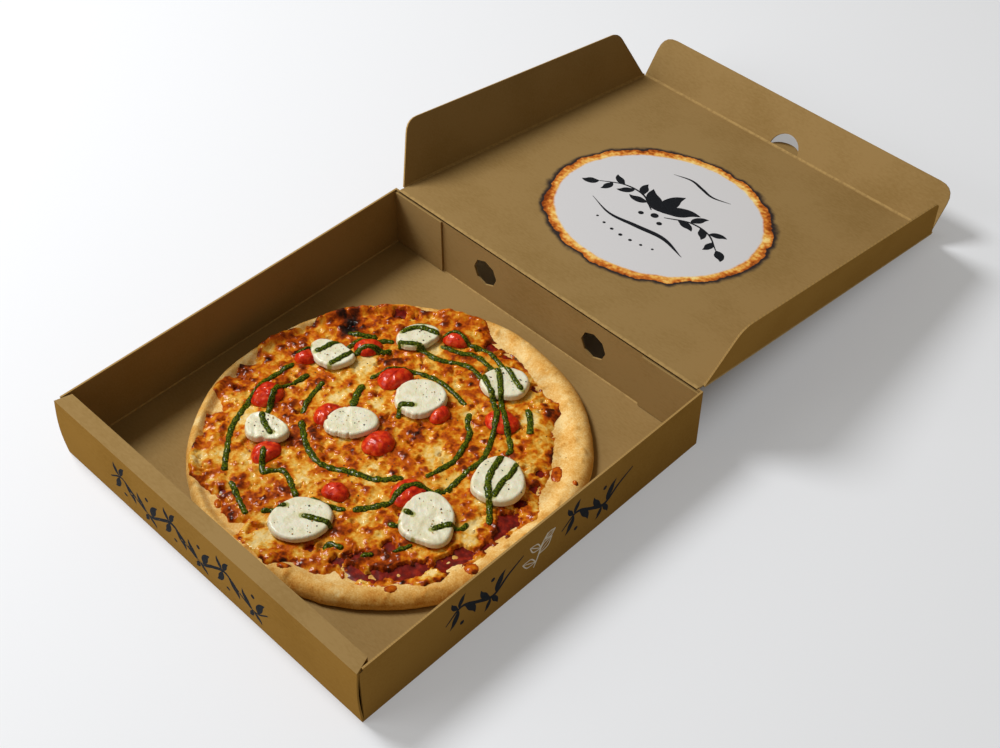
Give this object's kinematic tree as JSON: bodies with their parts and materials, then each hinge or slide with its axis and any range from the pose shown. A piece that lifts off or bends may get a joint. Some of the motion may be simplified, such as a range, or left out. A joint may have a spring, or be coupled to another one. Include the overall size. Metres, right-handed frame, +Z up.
{
  "type": "pizza in its box",
  "caption": "Round pizza with melted cheese, mozzarella slices and tomato halves in an open folding board box whose lid and lid flaps turn on their creases.",
  "frame": {"origin": "centre of the tray's underside", "axes": "+Y from the rolled front wall to the lid's crease, +X to the right, +Z up"},
  "size_m": [0.3542, 0.6808, 0.1044],
  "materials": {
    "kraft_board": "plain brown corrugated board, matt, with a faint fluting",
    "baked_dough": "baked dough, matt, golden with browned spots",
    "melted_cheese": "melted cheese over tomato sauce, half gloss, blistered",
    "mozzarella": "fresh mozzarella, moist and white",
    "tomato": "roasted tomato skin, glossy and wrinkled",
    "pesto": "basil sauce, dark green, oily",
    "pepper": "ground black pepper",
    "print_dark": "flat dark printing ink",
    "print_pale": "flat pale grey printing ink",
    "print_gold": "printed golden ring"
  },
  "bodies": {
    "base": {"tray": "kraft_board", "pizza_crust": "baked_dough", "cheese_layer": "melted_cheese", "mozzarella_1": "mozzarella", "mozzarella_2": "mozzarella", "mozzarella_3": "mozzarella", "mozzarella_4": "mozzarella", "mozzarella_5": "mozzarella", "mozzarella_6": "mozzarella", "mozzarella_7": "mozzarella", "mozzarella_8": "mozzarella", "mozzarella_9": "mozzarella", "tomato_1": "tomato", "tomato_2": "tomato", "tomato_3": "tomato", "tomato_4": "tomato", "tomato_5": "tomato", "tomato_6": "tomato", "tomato_7": "tomato", "tomato_8": "tomato", "tomato_9": "tomato", "tomato_10": "tomato", "tomato_11": "tomato", "tomato_12": "tomato"},
    "lid": {"lid_panel": "kraft_board"},
    "front_flap": {"lid_front_flap": "kraft_board"},
    "left_flap": {"lid_left_flap": "kraft_board"},
    "right_flap": {"lid_right_flap": "kraft_board"}
  },
  "joints": [
    {"name": "lid_hinge", "type": "hinge", "parent": "base", "child": "lid", "pos_m": [0, 0.169, 0.0576], "axis": [1, 0, 0], "range_deg": [-1.6, 188]},
    {"name": "front_flap_crease", "type": "hinge", "parent": "lid", "child": "front_flap", "pos_m": [0, 0.48311, 0.01345], "axis": [1, 0, 0], "range_deg": [-0.5, 30.5]},
    {"name": "left_flap_crease", "type": "hinge", "parent": "lid", "child": "left_flap", "pos_m": [-0.1607, 0.169, 0.0576], "axis": [0, 0.9903, -0.1392], "range_deg": [-0.5, 37.5]},
    {"name": "right_flap_crease", "type": "hinge", "parent": "lid", "child": "right_flap", "pos_m": [0.1607, 0.169, 0.0576], "axis": [0, -0.9903, 0.1392], "range_deg": [-0.5, 18]}
  ],
  "couplings": [
    {"joint": "front_flap_crease", "follows": "lid_hinge", "ratio": 0.1596},
    {"joint": "left_flap_crease", "follows": "lid_hinge", "ratio": 0.1964},
    {"joint": "right_flap_crease", "follows": "lid_hinge", "ratio": 0.0933}
  ]
}
